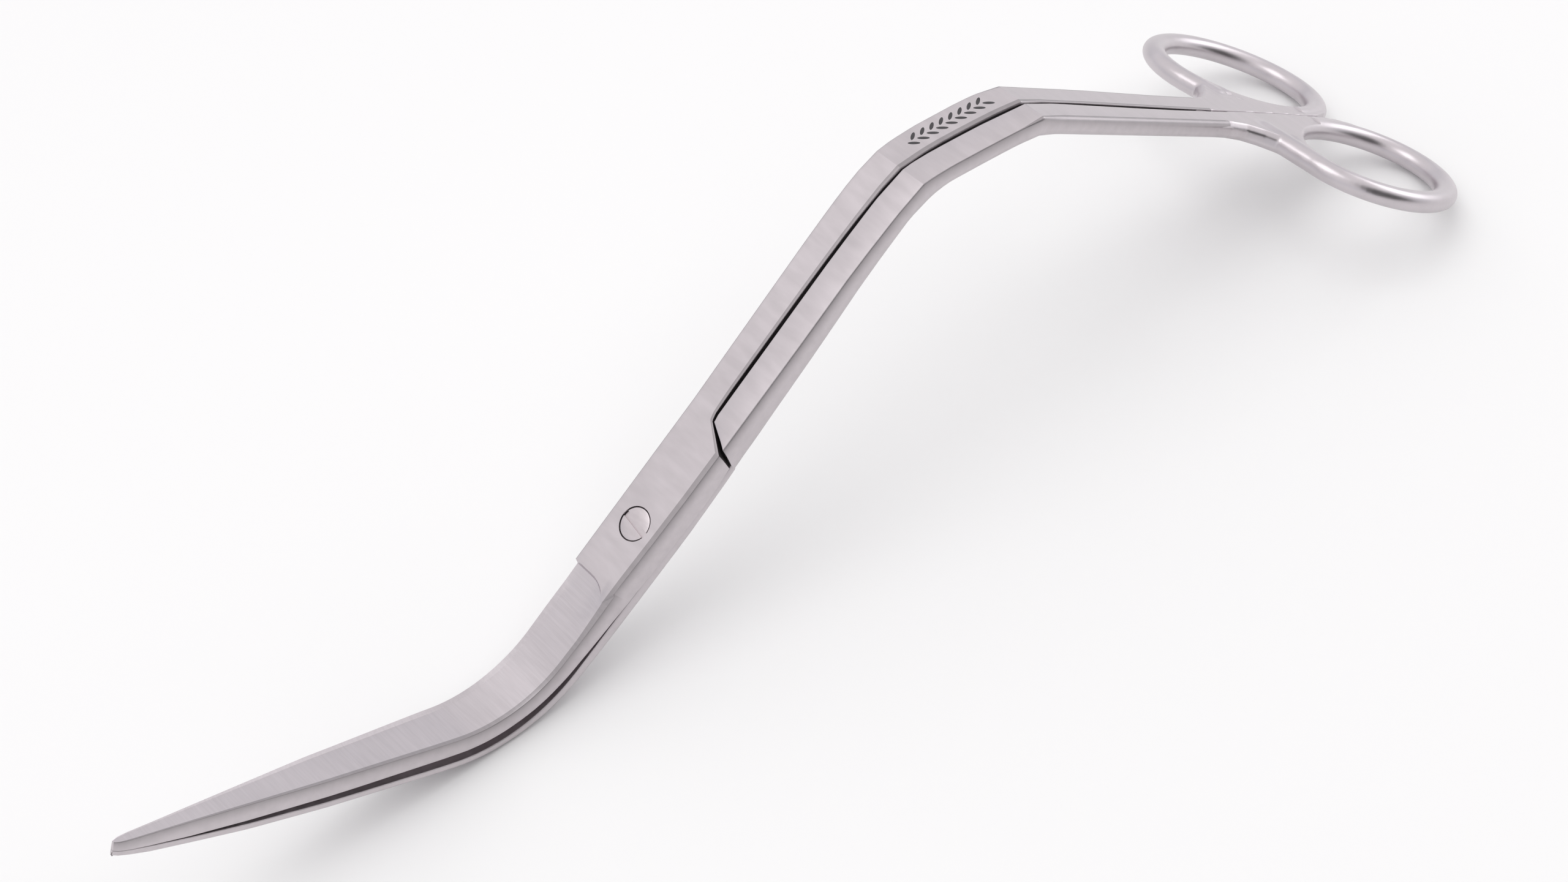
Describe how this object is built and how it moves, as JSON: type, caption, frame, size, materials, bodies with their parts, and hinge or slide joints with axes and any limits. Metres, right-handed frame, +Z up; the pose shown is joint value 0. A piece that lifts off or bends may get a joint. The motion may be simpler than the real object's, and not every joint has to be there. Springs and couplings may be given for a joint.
{
  "type": "aquascaping scissors",
  "caption": "Long double-bent stainless scissors for trimming aquarium plants, with angled blades, side-by-side shanks and finger rings.",
  "frame": {"origin": "on the floor, under the middle of the closed tool's bounding box, with the tool standing on its blade heel and ring ends", "axes": "+X from the blade tips towards the finger rings, +Z up, +Y towards the upper half's ring"},
  "size_m": [0.251, 0.0622, 0.0576],
  "materials": {
    "steel_upper": "satin ground stainless steel",
    "steel_lower": "satin ground stainless steel",
    "steel_screw": "satin ground stainless steel"
  },
  "bodies": {
    "lower": {"lower_half": "steel_lower", "pivot_screw": "steel_screw"},
    "upper": {"upper_half": "steel_upper"}
  },
  "joints": [
    {"name": "scissor_pivot", "type": "hinge", "parent": "lower", "child": "upper", "pos_m": [-0.03525, 0, 0.02181], "axis": [-0.5435, 0, 0.8394], "range_deg": [0, 50]}
  ]
}
